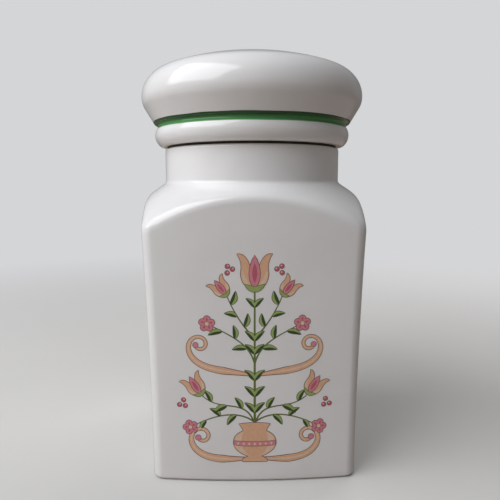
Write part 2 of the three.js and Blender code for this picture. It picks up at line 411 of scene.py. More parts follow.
def jarRows():
    # (inset, share, height): inset takes off the wall, share shrinks towards the axis
    foot, rim, fillet = jar["footRounding"], jar["rimRounding"], jar["floorFillet"]
    ring, recess, wall, top = jar["footRing"], jar["footRecess"], jar["wall"], jar["height"]

    def climb(inset, start, *legs):
        # plain wall, each leg up or down to a height in so many steps
        levels = [start]
        for end, steps in legs:
            levels += along(levels[-1], end, steps)[1:]
        return [(inset, 1, up) for up in levels[1:]]

    def overRim(inset, side, start, end):
        return [(inset + side * rim * (1 - math.cos(angle)), 1, top - rim + rim * math.sin(angle))
                for angle in along(start, end, 6)]

    rows = [(ring + recess, share, recess) for share in (0, 0.3, 0.6, 0.9, 0.97, 1)]
    rows += [(ring + jar["ringChamfer"], 1, jar["ringChamfer"]), (ring, 1, 0), ((ring + foot) / 2, 1, 0)]
    rows += [(foot * (1 - math.sin(angle)), 1, foot * (1 - math.cos(angle)))
             for angle in along(0, quarter, 7)]
    rows += climb(0, foot, (jar["fineFrom"], 50), (jar["fineTo"], 58), (top - rim, 8))
    rows += overRim(0, 1, 0, quarter)[1:] + [(wall / 2, 1, top)] + overRim(wall, -1, quarter, 0)
    rows += climb(wall, top - rim, (jar["fineTo"], 4), (jar["fineFrom"], 30), (jar["floor"] + fillet, 16))
    rows += [(wall + fillet * (1 - math.cos(angle)), 1, jar["floor"] + fillet * (1 - math.sin(angle)))
             for angle in along(0, quarter, 8)[1:]]
    rows += [(wall + fillet, share, jar["floor"]) for share in (0.95, 0.6, 0.3, 0)]
    return [(inset * mm, share, up * mm) for inset, share, up in rows]


def castJarTree():
    tree, given, out = newTree("castJar", {"Plan": "Object", "Rows": "Object", **dict.fromkeys((
        "Foot Half Width", "Shoulder Half Width", "Shoulder Level", "Wall Pinch", "Shoulder Radius",
        "Shoulder Centre Out", "Shoulder Centre Up", "Shoulder Blend", "Neck Radius", "Neck Blend",
        "Unevenness", "Seed"), "Float"), "Glaze": "Material", "Bare Clay": "Material"})
    plan = objectGeometry(tree, given["Plan"])
    mesh, column, rowPoint = gridOnRows(tree, given["Rows"], pointCount(tree, plan))
    planPoint = readPoint(tree, plan, column)
    inset, share, height = splitXYZ(tree, rowPoint)
    footHalf = given["Foot Half Width"]

    # half width of the body at this height: straight taper, drawn in at mid height
    rise = calc(tree, "DIVIDE", height, given["Shoulder Level"])
    widening = calc(tree, "SUBTRACT", given["Shoulder Half Width"], footHalf)
    taper = calc(tree, "MULTIPLY_ADD", widening, rise, footHalf)
    bow = product(tree, rise, calc(tree, "SUBTRACT", 1.0, rise), 4.0)
    half = calc(tree, "SUBTRACT", taper, product(tree, bow, given["Wall Pinch"]))
    scale = calc(tree, "DIVIDE", calc(tree, "SUBTRACT", half, inset), footHalf)
    planOut = lengthOf(tree, planPoint)
    wallOut = product(tree, planOut, scale)

    # the shoulder's arc, blended more softly at the upright edges, then the neck
    arcRadius = calc(tree, "SUBTRACT", given["Shoulder Radius"], inset)
    above = calc(tree, "SUBTRACT", height, given["Shoulder Centre Up"])
    leg = calc(tree, "SUBTRACT", product(tree, arcRadius, arcRadius), product(tree, above, above))
    arcReach = calc(tree, "SQRT", calc(tree, "MAXIMUM", leg, 0.0))
    arcOut = calc(tree, "ADD", arcReach, given["Shoulder Centre Out"])
    blend = product(tree, given["Shoulder Blend"], calc(tree, "DIVIDE", planOut, footHalf))
    under = calc(tree, "SMOOTH_MIN", wallOut, arcOut, blend)
    neckOut = calc(tree, "SUBTRACT", given["Neck Radius"], inset)
    radius = product(tree, calc(tree, "SMOOTH_MAX", under, neckOut, given["Neck Blend"]), share)

    unit = addNode(tree, "ShaderNodeVectorMath", {0: planPoint}, operation="NORMALIZE")
    towards = splitXYZ(tree, unit.outputs[0])
    place = joinXYZ(tree, product(tree, towards[0], radius), product(tree, towards[1], radius), height)
    closeAndFinish(tree, mesh, place, given, 0.0, out)
    return tree


def makeJar():
    slope = jar["shoulderSlope"]
    piece = runTree("jarGlazed", castJarTree(), {
        "Plan": helperObject("jarPlan", planPoints()),
        "Rows": helperObject("jarRows", jarRows()),
        "Foot Half Width": jar["footHalfWidth"] * mm,
        "Shoulder Half Width": jar["shoulderHalfWidth"] * mm,
        "Shoulder Level": jar["shoulderLevel"] * mm,
        "Wall Pinch": jar["wallPinch"] * mm,
        "Shoulder Radius": jar["shoulderRadius"] * mm,
        "Shoulder Centre Out": (jar["neckRadius"] - jar["shoulderRadius"] * math.sin(slope)) * mm,
        "Shoulder Centre Up": (jar["shoulderLevel"] - jar["shoulderRadius"] * math.cos(slope)) * mm,
        "Shoulder Blend": jar["shoulderBlend"] * mm,
        "Neck Radius": jar["neckRadius"] * mm,
        "Neck Blend": jar["neckBlend"] * mm,
        "Unevenness": jar["unevenness"] * mm,
        "Seed": jar["seed"],
        "Glaze": whiteGlaze("jarWhiteGlaze")[0],
        "Bare Clay": newFinish("footBareClay", clayLook)[0],
    })
    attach(piece, "jar_body")
    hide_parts("jar")
    print("jar cast,", len(piece.data.vertices), "points")
    return piece


def turnedTree():
    tree, given, out = newTree("turnOnWheel", {
        "Profile": "Object", "Columns": "Int", "Unevenness": "Float", "Seed": "Float",
        "Bare Level": "Float", "Glaze": "Material", "Bare Clay": "Material"})
    mesh, column, profilePoint = gridOnRows(tree, given["Profile"], given["Columns"])
    radius, _, height = splitXYZ(tree, profilePoint)
    share = calc(tree, "DIVIDE", column, calc(tree, "SUBTRACT", given["Columns"], 1.0))
    angle = product(tree, share, math.tau)
    place = joinXYZ(tree, product(tree, radius, calc(tree, "COSINE", angle)),
                    product(tree, radius, calc(tree, "SINE", angle)), height)
    closeAndFinish(tree, mesh, place, given, given["Bare Level"], out)
    return tree


# near-black tones: the seal's rubber, guessed dark, kept this dark also to paint the shade of the gap under
# the lid
sealRubberGapShadeLook = {
    "tones": [(0.35, (0.012, 0.012, 0.012)), (0.7, (0.035, 0.034, 0.032))],
    "toneNoise": (120.0, 4.0),
    "roughness": (0.45, 0.7),
    "glossNoise": (300.0, 3.0),
    "bumpNoise": (1500.0, 2.0),
    "bump": 0.03 * mm,
    "refraction": 1.5,
}

seal = {
    "lip": (sealHigh.z - jarHigh.z) / mm,
    "sleeve": 1.2,
    "fins": 2,
    "finThickness": 1.1,
    "finDroop": 0.8,
    "finRoot": 0.4,        # how far up its share of the sleeve a fin stands
    "clearance": 0.3,
    "rounding": 0.25,
    "columns": 193,
    "longestEdge": 1.2,
}
seal["length"] = (jarHigh.z - sealLow.z) / mm

bandLook = {
    "from": 10.8,          # above the seat, mm
    "to": 15.5,
    "outFrom": 61.2,       # so that the hollow inside stays white
    # the near-black upper green is painted shade, where the ledge overhangs the groove
    "greensShadedUpward": [(0.45, (0.11, 0.35, 0.12)), (0.8, (0.018, 0.075, 0.023))],   # up the band
    "softEdge": 0.25,
    "wobble": 0.3,         # of the hand-banded edge, mm
    "wobbleNoise": (45.0, 1.0),
}


def bandedGlaze(name, seat):
    # the same white glaze with a green band run into the groove; the band's upper part is darkened as painted
    # shade under the ledge
    material, tree, shader = whiteGlaze(name)
    start, end, soft = bandLook["from"] * mm, bandLook["to"] * mm, bandLook["softEdge"] * mm
    place = splitXYZ(tree, objectPlace(tree))
    wander = calc(tree, "SUBTRACT", objectNoise(tree, *bandLook["wobbleNoise"]), 0.5)
    level = calc(tree, "ADD", calc(tree, "SUBTRACT", place[2], seat * mm),
                 product(tree, wander, bandLook["wobble"] * 2 * mm))
    lowerEdge = mapRange(tree, level, (start - soft, start + soft), kind="SMOOTHSTEP")
    below = calc(tree, "LESS_THAN", level, end)
    squares = [calc(tree, "POWER", part, 2.0) for part in place[:2]]
    reach = calc(tree, "SQRT", calc(tree, "ADD", *squares))
    outside = calc(tree, "GREATER_THAN", reach, bandLook["outFrom"] * mm)
    # the ramp darkens the green towards the top of the band: painted shade under the ledge, over the band's
    # own green
    green = colourRamp(tree, mapRange(tree, level, (start, end)), bandLook["greensShadedUpward"])
    layOver(tree, shader, product(tree, lowerEdge, below, outside), green)
    return material


lid = {
    "wall": 5.0,
    "plugGap": 3.0,
    "ridgeHeight": 3.0,
    "ridgeReach": 1.0,
    "ridgeRounding": 0.6,
    "plugRounding": 1.5,
    "seatRounding": 0.4,
    "beadOverhang": 6.3,
    "beadRadius": 8.3,
    "beadLevel": 6.9,
    "grooveDepth": 2.0,
    "grooveRadius": 1.3,
    "ledgeRounding": 1.6,
    "skirtSlope": math.radians(31),   # from upright
    "skirtRounding": 12.0,
    "edgeRadius": 18.4,
    "crownRise": 9.7,
    "hollowRounding": 6.0,
    "columns": 289,
    "longestEdge": 2.5,
    "unevenness": 0.12,
    "seed": 11.0,
}
lid["seat"] = sealHigh.z / mm
lid["plugDepth"] = (sealHigh.z - lidLow.z) / mm
lid["plugRadius"] = jar["neckRadius"] - jar["wall"] - lid["plugGap"]
lid["crownReach"] = lidHigh.x / mm


def sealProfile():
    inner = lid["plugRadius"] + seal["clearance"]
    sleeve = inner + seal["sleeve"]
    fin = jar["neckRadius"] - jar["wall"] - seal["clearance"]
    top, length, soft = jar["height"], seal["length"], seal["rounding"]
    corners = [(inner, top - length / 2, 0), (inner, top - length, soft), (sleeve, top - length, soft)]
    spacing = length / seal["fins"]
    for number in range(seal["fins"]):
        root = top - length + spacing * (number + seal["finRoot"])
        tip = root - seal["finDroop"]
        corners += [(sleeve, root, soft), (fin, tip, soft), (fin, tip + seal["finThickness"] / 2, soft),
                    (sleeve, root + seal["finThickness"], soft)]
    lipReach = jar["neckRadius"] - jar["rimRounding"]
    corners += [(sleeve, top, soft), (lipReach, top, soft), (lipReach, top + seal["lip"], soft),
                (inner, top + seal["lip"], soft), (inner, top - length / 2, 0)]
    return closeUp(roundedProfile(corners), seal["longestEdge"])


def lidProfile():
    # from the middle of the hollow's ceiling, down inside, out over the seat,
    # and up over bead, groove and skirt to the middle of the crown
    wall, plug, seat = lid["wall"], lid["plugRadius"], lid["seat"]
    bead = jar["neckRadius"] + lid["beadOverhang"]
    crown = lid["crownReach"]
    beadCentre = (bead - lid["beadRadius"], lid["beadLevel"])
    both = lid["beadRadius"] + lid["grooveRadius"]
    across = both - lid["grooveDepth"]
    rise = math.sqrt(both ** 2 - across ** 2)
    grooveCentre = (beadCentre[0] + across, beadCentre[1] + rise)
    passing = math.atan2(rise, across)
    seatAngle = -math.asin(lid["beadLevel"] / lid["beadRadius"])
    ledge = grooveCentre[1] + lid["grooveRadius"]

    # the skirt leans out from its lower edge to its upper one
    slope, under, over = lid["skirtSlope"], lid["ledgeRounding"], lid["skirtRounding"]
    lowerEdge = arcPoints((grooveCentre[0], ledge + under), under, -quarter, -slope, 8)
    skirtTopRadius = crown - over * (1 - math.cos(slope))
    skirtTop = lowerEdge[-1][1] + (skirtTopRadius - lowerEdge[-1][0]) / math.tan(slope)
    widest = skirtTop + over * math.sin(slope)
    upperEdge = arcPoints((crown - over, widest), over, -slope, 0, 8)

    # the crown is a wide arc, tangent to the arc of its edge
    edgeCentre = (crown - lid["edgeRadius"], widest)
    up = lid["edgeRadius"] + lid["crownRise"]
    wide = (edgeCentre[0] ** 2 + up ** 2 - lid["edgeRadius"] ** 2) / (2 * lid["crownRise"])
    crownCentre = (0, widest + up - wide)
    meeting = math.atan2(edgeCentre[1] - crownCentre[1], edgeCentre[0])
    hollow = arcPoints(crownCentre, wide - wall, quarter, meeting, 10)[:-1]
    hollow += arcPoints(edgeCentre, lid["edgeRadius"] - wall, meeting, 0, 10)
    soft, flange, plugFoot = lid["hollowRounding"], bead - lid["grooveDepth"] - wall, -lid["plugDepth"]
    inside = roundedProfile([
        (crown - wall, widest, 0), (skirtTopRadius - wall, skirtTop, soft), (flange, ledge, soft),
        (flange, wall, soft), (plug - wall, wall, soft), (plug - wall, plugFoot, lid["plugRounding"]),
        (plug, plugFoot, lid["plugRounding"]), (plug, 0, 0)])[1:-1]

    # the ridge under the seal, and the seat
    ridgeTop = -seal["lip"] - seal["length"] - seal["clearance"]
    ridge, out = lid["ridgeHeight"], plug + lid["ridgeReach"]
    crisp, gentle = lid["seatRounding"], lid["ridgeRounding"]
    foot = beadCentre[0] + lid["beadRadius"] * math.cos(seatAngle)
    plugAndSeat = roundedProfile([
        (plug, plugFoot / 2 - ridge, 0), (plug, ridgeTop - ridge, crisp),
        (out, ridgeTop - ridge * 0.65, gentle), (out, ridgeTop - ridge * 0.35, gentle),
        (plug, ridgeTop, crisp), (plug, 0, crisp), (foot, 0, 0)])[1:-1]
    outside = arcPoints(beadCentre, lid["beadRadius"], seatAngle, passing, 30)[:-1]
    outside += arcPoints(grooveCentre, lid["grooveRadius"], passing + math.pi, quarter, 14)[:-1]
    crownSkin = arcPoints(edgeCentre, lid["edgeRadius"], 0, meeting, 26)[:-1]
    crownSkin += arcPoints(crownCentre, wide, meeting, quarter, 26)
    profile = hollow + inside + plugAndSeat + outside + lowerEdge + upperEdge[:-1] + crownSkin
    return [(out, up + seat) for out, up in closeUp(profile, lid["longestEdge"])]


def makeTurned(name, profile, columns, values):
    points = [(max(out, 0) * mm, 0, up * mm) for out, up in profile]
    return runTree(name, turnedTree(), {
        "Profile": helperObject(name + "Profile", points), "Columns": columns, **values})


def makeSeal():
    # the seal's near-black partly paints the shade of the narrow gap between lid and neck
    rubber = newFinish("sealRubberWithPaintedGapShade", sealRubberGapShadeLook)[0]
    piece = makeTurned("sealRing", sealProfile(), seal["columns"], {
        "Unevenness": 0.0, "Seed": 0.0, "Bare Level": -1.0, "Glaze": rubber, "Bare Clay": rubber})
    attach(piece, "seal_body")
    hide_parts("lid_seal")
    print("seal turned,", len(piece.data.vertices), "points")


def makeLid():
    piece = makeTurned("lidGlazed", lidProfile(), lid["columns"], {
        "Unevenness": lid["unevenness"] * mm, "Seed": lid["seed"], "Bare Level": lid["seat"] * mm,
        "Glaze": bandedGlaze("lidBandedGlaze", lid["seat"]),
        "Bare Clay": newFinish("seatBareClay", clayLook)[0]})
    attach(piece, "lid_body")
    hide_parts("lid")
    print("lid turned,", len(piece.data.vertices), "points")


printTints = {
    # linear colours of the enamels
    "outlineBrown": (0.165, 0.092, 0.075),
    "peach": (0.80, 0.47, 0.30),
    "palePeach": (0.83, 0.61, 0.47),
    "pink": (0.72, 0.26, 0.32),
    "rose": (0.55, 0.13, 0.19),
    "leafGreen": (0.36, 0.45, 0.15),
    "leafShade": (0.045, 0.085, 0.03),
    "stemOlive": (0.15, 0.19, 0.06),
}


printLook = {
    "line": 0.34,            # width of the drawn outlines
    "lowest": 0.03,          # how proud of the glaze the first colour lies
    "levelStep": 0.012,      # each further colour above it
    "sunk": 0.25,            # the plates' backs lie this far inside the glaze
    "weld": 0.001,
    "longestEdge": 4.0,
    "cuts": 3,               # how often longer edges are halved
    "rayFrom": -0.2,         # the wall is looked for from here towards the back, metres
    "rayLength": 0.3,
    "leafLength": 8.0,
    "leafPlumpness": 0.36,   # width over length
    "leafBow": 0.10,         # and how far it arches
    "leafSpacing": 7.4,
    "leafSpread": math.radians(46),
    "leafStart": 0.3,
    "leafEnd": 0.8,
    "leafVariation": 0.12,
    "trunkLeafLean": 46,     # degrees
    "seed": 5,
}


def bezier(a, b, c, d, steps):
    return [tuple(p * (1 - t) ** 3 + 3 * q * t * (1 - t) ** 2 + 3 * r * t * t * (1 - t) + s * t ** 3
                  for p, q, r, s in zip(a, b, c, d)) for t in along(0, 1, steps)]


def drawn(start, *curves, steps=9):
    # an outline of curves, each (pull out, pull in, end)
    points = [start]
    for pullOut, pullIn, end in curves:
        points += bezier(points[-1], pullOut, pullIn, end, steps)[1:]
    return points


def circle(radius, steps=20):
    return [(radius * math.cos(turn), radius * math.sin(turn)) for turn in along(0, math.tau, steps)[:-1]]


def scroll(start, heading, length, firstBend, lastBend, power, steps=64):
    # a path whose bend, in degrees per millimetre, tightens towards its end
    (across, up), angle = start, math.radians(heading)
    points = [start]
    for share in along(0, 1, steps)[1:]:
        angle += math.radians(firstBend + (lastBend - firstBend) * share ** power) * length / steps
        across += math.cos(angle) * length / steps
        up += math.sin(angle) * length / steps
        points.append((across, up))
    return points


def aside(back, ahead, by):
    # a step to the left of the way from back to ahead
    run = math.dist(back, ahead) or 1
    return -(ahead[1] - back[1]) / run * by, (ahead[0] - back[0]) / run * by


def ribbon(path, widths):
    # the two edges of a band along a path, with widths given at equal shares of it
    left, right = [], []
    for index, (across, up) in enumerate(path):
        share = index / (len(path) - 1) * (len(widths) - 1)
        step = min(int(share), len(widths) - 2)
        half = (widths[step] + (widths[step + 1] - widths[step]) * (share - step)) / 2
        out, high = aside(path[max(index - 1, 0)], path[min(index + 1, len(path) - 1)], half)
        left.append((across + out, up + high))
        right.append((across - out, up - high))
    return left, right


def grown(outline, by):
    # the outline pushed outwards
    turning = sum(a[0] * b[1] - b[0] * a[1] for a, b in zip(outline, outline[1:] + outline[:1]))
    pushed = []
    for index, (across, up) in enumerate(outline):
        out, high = aside(outline[index - 1], outline[(index + 1) % len(outline)], by if turning > 0 else -by)
        pushed.append((across - out, up - high))
    return pushed


def moved(outline, spot, turn=0.0, size=1.0, flip=1):
    # flip -1 mirrors the outline left to right first
    cos, sin = math.cos(math.radians(turn)) * size, math.sin(math.radians(turn)) * size
    return [(spot[0] + flip * across * cos - up * sin, spot[1] + flip * across * sin + up * cos)
            for across, up in outline]


def edged(outline, level, tint, line=1.0, edge="outlineBrown"):
    # a colour with its drawn line showing round it
    return [(grown(outline, printLook["line"] * line), level, edge), (outline, level + 1, tint)]


def edgedRibbon(path, widths, level, tint):
    line = printLook["line"]
    around = ribbon(path, [width + 2 * line for width in widths])
    return [(around, level, "outlineBrown"), (ribbon(path[1:], widths), level + 1, tint)]


def tulip(spot, turn, height, width, level=4):
    # two flared petals round a pointed one, on a green cup; drawn for a size of one
    outer = drawn((0, 0), ((0.55, 0.02), (0.98, 0.25), (0.86, 0.55)),
                  ((0.80, 0.75), (0.95, 0.90), (1.12, 0.99)),
                  ((0.70, 1.02), (0.40, 0.88), (0.22, 0.52)), ((0.15, 0.30), (0.05, 0.15), (0, 0)))[:-1]
    flank = drawn((0.08, 0.04), ((0.55, 0.06), (0.90, 0.28), (0.78, 0.56)),
                  ((0.62, 0.36), (0.40, 0.18), (0.08, 0.04)))[:-1]
    heart = drawn((0, 0.06), ((0.42, 0.20), (0.50, 0.60), (0, 0.96)),
                  ((-0.50, 0.60), (-0.42, 0.20), (0, 0.06)))[:-1]
    glow = drawn((0, 0.20), ((0.20, 0.34), (0.22, 0.56), (0, 0.74)),
                 ((-0.22, 0.56), (-0.20, 0.34), (0, 0.20)))[:-1]
    cup = drawn((0, -0.05), ((0.30, -0.05), (0.50, 0.02), (0.66, 0.17)),
                ((0.40, 0.13), (0.18, 0.12), (0, 0.09)))

    def laid(outline, flip=1):
        return moved([(across * width / 2, up * height) for across, up in outline], spot, turn, 1, flip)

    plates = []
    for flip in (1, -1):
        plates += edged(laid(outer, flip), level, "peach")
        plates.append((laid(flank, flip), level + 2, "palePeach"))
    plates += edged(laid(heart), level + 2, "pink") + [(laid(glow), level + 4, "rose")]
    for flip in (1, -1):
        plates += edged(laid(cup, flip), level + 4, "leafGreen", 0.8, "leafShade")
    return plates


def blossom(spot, radius, turn=0.0):
    # five round petals about a pale eye
    petals = []
    for angle in along(0, math.tau, 70)[:-1]:
        reach = radius * (0.62 + 0.38 * abs(math.cos(2.5 * angle)) ** 0.55)
        petals.append((reach * math.cos(angle), reach * math.sin(angle)))
    plates = edged(moved(petals, spot, turn), 4, "pink")
    fleck = [(0.30, 0), (0.55, 0.15), (0.80, 0), (0.55, -0.15)]
    for petal in range(5):
        plates.append((moved(moved(fleck, (0, 0), 72 * petal, radius), spot, turn), 6, "rose"))
    return plates + edged(moved(circle(0.26 * radius), spot), 7, "palePeach", 0.8)


def berry(spot, radius):
    shine = moved(circle(radius * 0.34, 12), (spot[0] - radius * 0.25, spot[1] + radius * 0.3))
    return edged(moved(circle(radius), spot), 4, "rose", 0.8) + [(shine, 6, "palePeach")]


def peachScroll(path, width):
    full = [width * share for share in (0.25, 1, 0.8, 0.42, 0.42)]
    thin = [width * share for share in (0.02, 0.3, 0.24, 0.14, 0.1)]
    plates = edgedRibbon(path, full, 2, "peach")
    plates.append((ribbon(path[3:-3], thin), 4, "palePeach"))
    return plates + edged(moved(circle(0.38 * width), path[-1]), 4, "pink", 0.8)


def leafPlates(length):
    # a leaf pointing right, light above its bowed middle line and dark below
    width = length * printLook["leafPlumpness"]
    upper, middle, lower = [], [], []
    for share in along(0, 1, 12):
        rise = printLook["leafBow"] * length * math.sin(math.pi * share)
        half = width / 2 * math.sin(math.pi * share ** 0.8) ** 0.9 if 0 < share < 1 else 0
        middle.append((share * length, rise))
        upper.append((share * length, rise + half))
        lower.append((share * length, rise - half))
    return edged(upper + lower[-2:0:-1], 2, "leafGreen", 0.9, "leafShade") + [
        (middle + lower[-2:0:-1], 4, "leafShade")]


def vasePlates():
    # a footed vase with a checked band
    half = drawn((0, 13), ((3, 13), (5, 13), (7.4, 13)), ((7.8, 14.3), (6.4, 15.2), (3.8, 16.4)),
                 ((7.4, 17.6), (12.6, 20.4), (12.6, 25.2)), ((12.6, 29.2), (9.8, 31.2), (6.9, 32.4)),
                 ((7.0, 33.8), (8.2, 35.4), (9.2, 36.8)), ((5.8, 37.4), (2.6, 37.5), (0, 37.5)))
    plates = edged(half + [(-across, up) for across, up in half[-2:0:-1]], 6, "peach")
    flank = drawn((3.3, 16.6), ((7.4, 17.8), (12, 20.6), (12, 25.2)),
                  ((12, 28.8), (9.8, 30.6), (6.7, 31.9)),
                  ((9, 26.8), (8.2, 20.2), (3.3, 16.6)))[:-1]
    for flip in (1, -1):
        plates.append((moved(flank, (0, 0), 0, 1, flip), 8, "palePeach"))

    def sag(across):
        return -math.sqrt(max(0, 1 - (across / 12.3) ** 2))

    top = [(across, 26.6 + sag(across)) for across in along(-12.2, 12.2, 16)]
    foot = [(across, 23.8 + sag(across)) for across in along(12.3, -12.3, 16)]
    plates += edged(top + foot, 9, "pink", 0.7)
    diamond = [(0, 0.95), (0.8, 0), (0, -0.95), (-0.8, 0)]
    for place in along(-9.9, 9.9, 6):
        plates.append((moved(diamond, (place, 25.2 + sag(place))), 11, "palePeach"))
    return plates


def rightHalf():
    # the stems with what hangs at their ends, and the scrolls
    arms = [
        bezier((0.5, 38), (6, 54), (20, 43), (31.5, 55), 30),
        bezier((0, 74), (3, 86), (12, 90), (25, 97), 30),
        bezier((0, 89), (5, 95), (11, 102), (16, 115), 24),
        bezier((0.8, 38.5), (11, 46), (24, 42), (35.5, 36), 30),
    ]
    plates = [(ribbon(arm, [1.05, 0.6]), 0, "stemOlive") for arm in arms]
    plates += tulip(arms[0][-1], -32, 13.5, 12) + tulip(arms[2][-1], -38, 11.5, 10.5)
    plates += blossom((27.6, 98.2), 4.7, 20) + blossom((38.2, 34.6), 4.4)
    plates += peachScroll(scroll((3.2, 15.0), -3, 66, 0.1, 20.5, 2.3), 4.3)
    plates += peachScroll(scroll((0.9, 67), 12, 70, -0.4, 21.5, 2.5), 4.0)
    for spot in ((42.0, 51.6), (44.4, 48.6), (41.0, 48.0), (12.6, 130.2), (15.6, 128.0), (15.4, 131.8)):
        plates += berry(spot, 1.3)
    return plates, arms


def middlePlates():
    trunk = [(0, up) for up in along(34, 118, 24)]
    plates = [(ribbon(trunk, [1.5, 1.0]), 0, "stemOlive")] + tulip((0, 118), 0, 21, 18, 5) + vasePlates()
    lean = printLook["trunkLeafLean"]
    for foot, length in ((44, 8.5), (54, 8.5), (64, 8.5), (80, 8.0), (88, 8.0), (108, 7.2)):
        for flip in (1, -1):
            plates += [(moved(outline, (0, foot), flip * lean, 1, flip), level, tint)
                       for outline, level, tint in leafPlates(length)]
    return plates


def plateObject(name, plates):
    # each outline, or pair of edges, as a thin closed plate, cut to follow the wall
    points, faces, tints = [], [], []
    names = list(printTints)
    for outline, level, tint in plates:
        plate = bmesh.new()
        proud = (printLook["lowest"] + printLook["levelStep"] * level) * mm
        bands = [outline] if len(outline) > 2 else [
            (a, b, c, d) for a, b, c, d in zip(outline[0], outline[1], outline[1][1:], outline[0][1:])]
        for band in bands:
            plate.faces.new([plate.verts.new((across * mm, -proud, up * mm)) for across, up in band])
        bmesh.ops.remove_doubles(plate, verts=plate.verts[:], dist=printLook["weld"] * mm)
        bmesh.ops.triangulate(plate, faces=plate.faces[:])
        for _ in range(printLook["cuts"]):
            longEdges = [edge for edge in plate.edges if edge.calc_length() > printLook["longestEdge"] * mm]
            bmesh.ops.subdivide_edges(plate, edges=longEdges, cuts=1)
            bmesh.ops.triangulate(plate, faces=plate.faces[:])
        pulled = bmesh.ops.extrude_face_region(plate, geom=plate.faces[:])["geom"]
        for vert in (part for part in pulled if isinstance(part, bmesh.types.BMVert)):
            vert.co.y = printLook["sunk"] * mm
        bmesh.ops.recalc_face_normals(plate, faces=plate.faces[:])
        plate.verts.index_update()
        # sorted, because the walls come in another order each time
        faces += sorted([vert.index + len(points) for vert in face.verts] for face in plate.faces)
        tints += [names.index(tint)] * len(plate.faces)
        points += [vert.co.copy() for vert in plate.verts]
        plate.free()
    laid = helperObject(name, points, (), faces)
    laid.data.attributes.new("tint", "INT", "FACE").data.foreach_set("value", tints)
    return laid


def stemObject(name, paths):
    points, edges = [], []
    for path in paths:
        edges += [(len(points) + step, len(points) + step + 1) for step in range(len(path) - 1)]
        points += [(across * mm, 0, up * mm) for across, up in path]
    return helperObject(name, points, edges)


def leavesOnStems(tree, given):
    # leaves to left and right in turn along every stem
    path = handOn(tree, "GeometryNodeMeshToCurve", objectGeometry(tree, given["Stems"]))
    path = handOn(tree, "GeometryNodeTrimCurve", path, {
        "Start": given["Leaf Start"], "End": given["Leaf End"]}, mode="FACTOR")
    path = handOn(tree, "GeometryNodeResampleCurve", path, {"Length": given["Leaf Spacing"]}, mode="LENGTH")
    tangent = splitXYZ(tree, addNode(tree, "GeometryNodeInputTangent").outputs[0])
    heading = calc(tree, "ARCTAN2", tangent[2], tangent[0])
    parity = calc(tree, "MODULO", pointIndex(tree), 2.0)
    side = calc(tree, "SUBTRACT", 1.0, product(tree, parity, 2.0))
    turn = calc(tree, "MULTIPLY_ADD", side, given["Leaf Spread"], heading)
    size = addNode(tree, "FunctionNodeRandomValue", {
        2: calc(tree, "SUBTRACT", 1.0, given["Leaf Variation"]),
        3: calc(tree, "ADD", 1.0, given["Leaf Variation"]), "Seed": given["Seed"]}, data_type="FLOAT")
    leaves = handOn(tree, "GeometryNodeInstanceOnPoints", path, {
        "Instance": objectGeometry(tree, given["Leaf"]),
        "Rotation": joinXYZ(tree, 0.0, product(tree, turn, -1.0), 0.0), "Scale": size.outputs[1]})
    return handOn(tree, "GeometryNodeRealizeInstances", leaves)


def printTree():
    # mirrors the half with its leaves, lays all on the wall and tints it
    tree, given, out = newTree("printOnFace", {
        **dict.fromkeys(("Middle", "Right Half", "Stems", "Leaf", "Jar"), "Object"),
        **dict.fromkeys(("Leaf Start", "Leaf End", "Leaf Spacing", "Leaf Spread", "Leaf Variation"), "Float"),
        "Seed": "Int", **dict.fromkeys(printTints, "Material")})
    half = joined(tree, leavesOnStems(tree, given), objectGeometry(tree, given["Right Half"]))
    mirrored = handOn(tree, "GeometryNodeTransform", half, {"Scale": (-1, 1, 1)})
    turned = handOn(tree, "GeometryNodeFlipFaces", mirrored)
    mesh = joined(tree, half, turned, objectGeometry(tree, given["Middle"]))
    flat = splitXYZ(tree, position(tree))
    cast = addNode(tree, "GeometryNodeRaycast", {
        "Target Geometry": objectGeometry(tree, given["Jar"]),
        "Source Position": joinXYZ(tree, flat[0], printLook["rayFrom"], flat[2]),
        "Ray Direction": (0, 1, 0), "Ray Length": printLook["rayLength"]})
    wall = splitXYZ(tree, cast.outputs["Hit Position"])[1]
    place = joinXYZ(tree, flat[0], calc(tree, "ADD", wall, flat[1]), flat[2])
    mesh = handOn(tree, "GeometryNodeSetPosition", mesh, {"Position": place})
    mesh = handOn(tree, "GeometryNodeRealizeInstances", mesh)
    mark = addNode(tree, "GeometryNodeInputNamedAttribute", {"Name": "tint"}, data_type="INT")
    for number, tint in enumerate(printTints):
        same = addNode(tree, "FunctionNodeCompare", {2: mark.outputs["Attribute"], 3: number},
                       data_type="INT", operation="EQUAL")
        mesh = handOn(tree, "GeometryNodeSetMaterial", mesh, {
            "Selection": same.outputs[0], "Material": given[tint]})
    feed(tree, out, mesh)
    return tree


enamelLook = {
    "mottle": ((0.3, 0.93), (0.7, 1.04)),    # stops of the noise, and the colour's share there
    "toneNoise": (620.0, 4.0, 0.6),
    "roughness": (0.12, 0.24),
    "glossNoise": (150.0, 3.0),
    "bumpNoise": glazeLook["peel"],
    "bump": glazeLook["ripple"],
    "refraction": 1.5,
}


def enamel(name, colour):
    # printed colour under the last firing: slightly mottled, nearly as glossy as the glaze
    tones = [(stop, tuple(min(1.0, share * part) for part in colour)) for stop, share in enamelLook["mottle"]]
    return newFinish(name, {**enamelLook, "tones": tones})[0]


def makePrint(jarPiece):
    half, arms = rightHalf()
    piece = runTree("facePrint", printTree(), {
        "Middle": plateObject("middlePlates", middlePlates()),
        "Right Half": plateObject("halfPlates", half),
        "Stems": stemObject("stemPaths", arms),
        "Leaf": plateObject("oneLeaf", leafPlates(printLook["leafLength"])),
        "Jar": jarPiece,
        "Leaf Start": printLook["leafStart"], "Leaf End": printLook["leafEnd"],
        "Leaf Spacing": printLook["leafSpacing"] * mm, "Leaf Spread": printLook["leafSpread"],
        "Leaf Variation": printLook["leafVariation"], "Seed": printLook["seed"],
        **{tint: enamel(tint + "Enamel", colour) for tint, colour in printTints.items()}})
    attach(piece, "jar_body")
    print("print laid on the front,", len(piece.data.polygons), "faces")


